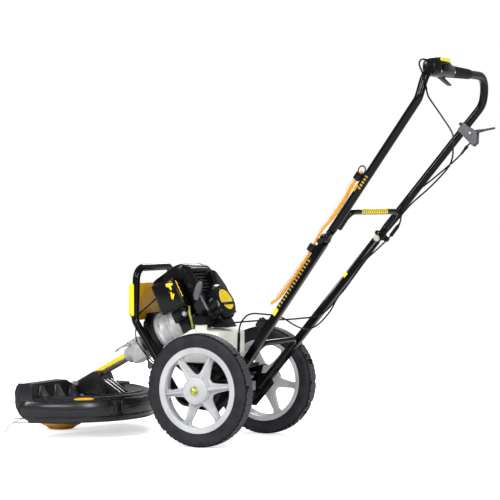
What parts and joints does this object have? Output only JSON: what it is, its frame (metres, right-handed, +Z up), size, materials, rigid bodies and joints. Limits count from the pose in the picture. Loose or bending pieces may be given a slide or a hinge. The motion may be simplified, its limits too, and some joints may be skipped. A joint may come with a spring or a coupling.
{
  "type": "wheeled string trimmer",
  "caption": "Petrol string trimmer on two lugged wheels: tilted engine and drive shaft, half-round guard, bump-feed head, folding bow handle with throttle box and drive lever.",
  "frame": {"origin": "On the ground, at the middle of the whole machine's bounding box", "axes": "+X towards the handle at the rear, -X the cutting head in front, -Y the operator's left, +Z up"},
  "size_m": [1.4559, 0.5334, 1.019],
  "materials": {
    "black_tube": "gloss black paint",
    "zinc_steel": "bright zinc",
    "yellow_zinc": "yellow passivated zinc",
    "cast_aluminium": "as cast",
    "silencer_metal": "heat darkened",
    "bright_tube": "drawn and polished",
    "polished_lever": "plated",
    "black_moulding": "fine moulded grain",
    "guard_moulding": "semi gloss",
    "grey_moulding": "satin",
    "rim_moulding": "silver grey, moulded through",
    "yellow_moulding": "smooth",
    "amber_moulding": "smooth",
    "red_moulding": "smooth",
    "tank_moulding": "milky, slightly translucent",
    "bulb_moulding": "clear soft moulding",
    "grip_rubber": "matt",
    "tyre_rubber": "dusty black",
    "cable_sheath": "satin black",
    "olive_hose": "clear hose with fuel",
    "orange_line": "drawn nylon",
    "clear_line": "drawn nylon"
  },
  "bodies": {
    "chassis": {"axle": "zinc_steel", "left_hub_nut": "yellow_zinc", "right_hub_nut": "yellow_zinc", "left_leg": "black_tube", "right_leg": "black_tube", "lower_brace": "black_tube", "front_loop": "black_tube", "front_panel": "yellow_moulding", "engine_plate": "black_tube", "cradle_tray": "black_tube", "drive_casing": "cast_aluminium", "clutch_housing": "black_moulding", "crankcase": "cast_aluminium", "cylinder": "cast_aluminium", "engine_shroud": "black_moulding", "starter_cover": "black_moulding", "air_filter_cover": "black_moulding", "carburettor": "black_moulding", "muffler": "silencer_metal", "fuel_tank": "tank_moulding", "fuel_line": "olive_hose", "shaft_clamp": "cast_aluminium", "lower_tube": "bright_tube", "gear_case": "cast_aluminium", "guard_bracket": "guard_moulding", "guard": "guard_moulding", "throttle_cable_lower": "cable_sheath", "drive_cable_lower": "cable_sheath", "cable_stop": "black_moulding", "lower_line_clip": "black_moulding", "spare_line_lower": "orange_line"},
    "left_wheel": {"left_rim": "rim_moulding", "left_tyre": "tyre_rubber"},
    "right_wheel": {"right_rim": "rim_moulding", "right_tyre": "tyre_rubber"},
    "handle": {"handle_tube": "black_tube", "upper_brace": "black_tube", "throttle_housing": "black_moulding", "grip_sleeve": "grip_rubber", "lever_bracket": "grey_moulding", "throttle_cable_upper": "cable_sheath", "drive_cable_upper": "cable_sheath", "upper_line_clip": "black_moulding", "spare_line_upper": "orange_line"},
    "left_knob": {"left_fold_knob": "black_moulding"},
    "right_knob": {"right_fold_knob": "black_moulding"},
    "trigger": {"throttle_trigger": "black_moulding"},
    "switch": {"stop_switch": "red_moulding"},
    "lever": {"drive_lever": "zinc_steel"},
    "starter_grip": {"starter_handle": "grey_moulding"},
    "choke": {"choke_lever": "black_moulding"},
    "primer": {"primer_bulb": "bulb_moulding"},
    "cap": {"fuel_cap": "black_moulding"},
    "clamp_latch": {"clamp_lever": "polished_lever"},
    "clamp_screw": {"clamp_knob": "grey_moulding"},
    "shaft": {"drive_shaft": "zinc_steel"},
    "head": {"trimmer_head": "black_moulding", "front_line": "clear_line", "side_line": "orange_line"},
    "knob": {"bump_knob": "amber_moulding"}
  },
  "joints": [
    {"name": "left_wheel_spin", "type": "hinge", "parent": "chassis", "child": "left_wheel", "pos_m": [0.0365, -0.1865, 0.1525], "axis": [0, 1, 0], "continuous": true},
    {"name": "right_wheel_spin", "type": "hinge", "parent": "chassis", "child": "right_wheel", "pos_m": [0.0365, 0.1865, 0.1525], "axis": [0, 1, 0], "continuous": true},
    {"name": "handle_fold", "type": "hinge", "parent": "chassis", "child": "handle", "pos_m": [0.4018, 0, 0.562], "axis": [0, -1, 0], "range_deg": [0, 110]},
    {"name": "left_knob_turn", "type": "hinge", "parent": "chassis", "child": "left_knob", "pos_m": [0.4018, -0.1614, 0.562], "axis": [0, 1, 0], "continuous": true},
    {"name": "right_knob_turn", "type": "hinge", "parent": "chassis", "child": "right_knob", "pos_m": [0.4018, 0.1614, 0.562], "axis": [0, 1, 0], "continuous": true},
    {"name": "trigger_pull", "type": "hinge", "parent": "handle", "child": "trigger", "pos_m": [0.6965, -0.119, 0.972], "axis": [1, 0, 0], "range_deg": [0, 10], "stiffness_Nm_per_rad": 0.4, "springref_deg": -8.59},
    {"name": "switch_slide", "type": "slide", "parent": "handle", "child": "switch", "axis": [0, 1, 0], "range_m": [0, 0.01]},
    {"name": "lever_pull", "type": "hinge", "parent": "handle", "child": "lever", "pos_m": [0.65346, 0.2038, 0.83891], "axis": [0.07, -0.9936, 0.0885], "range_deg": [0, 30], "stiffness_Nm_per_rad": 1.2, "springref_deg": -8.59},
    {"name": "starter_pull", "type": "slide", "parent": "chassis", "child": "starter_grip", "axis": [0, -0.8, 0.6], "range_m": [0, 0.25], "stiffness_N_per_m": 20, "springref_m": -0.1},
    {"name": "choke_turn", "type": "hinge", "parent": "chassis", "child": "choke", "pos_m": [-0.10966, -0.1016, 0.39258], "axis": [0, 1, 0], "range_deg": [0, 60]},
    {"name": "primer_press", "type": "slide", "parent": "chassis", "child": "primer", "axis": [0, 1, 0], "range_m": [0, 0.004], "stiffness_N_per_m": 300, "springref_m": -0.004},
    {"name": "cap_turn", "type": "hinge", "parent": "chassis", "child": "cap", "pos_m": [-0.0175, -0.086, 0.3314], "axis": [0, 0, 1], "range_deg": [0, 270]},
    {"name": "latch_lift", "type": "hinge", "parent": "chassis", "child": "clamp_latch", "pos_m": [-0.30781, 0, 0.24871], "axis": [0, 1, 0], "range_deg": [0, 60]},
    {"name": "clamp_screw_turn", "type": "hinge", "parent": "chassis", "child": "clamp_screw", "pos_m": [-0.23836, 0, 0.20863], "axis": [-0.4695, 0, 0.8829], "continuous": true},
    {"name": "shaft_spin", "type": "hinge", "parent": "chassis", "child": "shaft", "pos_m": [-0.37457, 0, 0.1815], "axis": [0.8829, 0, 0.4695], "continuous": true},
    {"name": "head_spin", "type": "hinge", "parent": "chassis", "child": "head", "pos_m": [-0.5335, 0, 0.05], "axis": [0, 0, 1], "continuous": true},
    {"name": "head_bump", "type": "slide", "parent": "head", "child": "knob", "axis": [0, 0, 1], "range_m": [0, 0.005], "stiffness_N_per_m": 2500, "springref_m": -0.02}
  ],
  "couplings": [
    {"joint": "shaft_spin", "follows": "head_spin", "ratio": -1.3333}
  ]
}
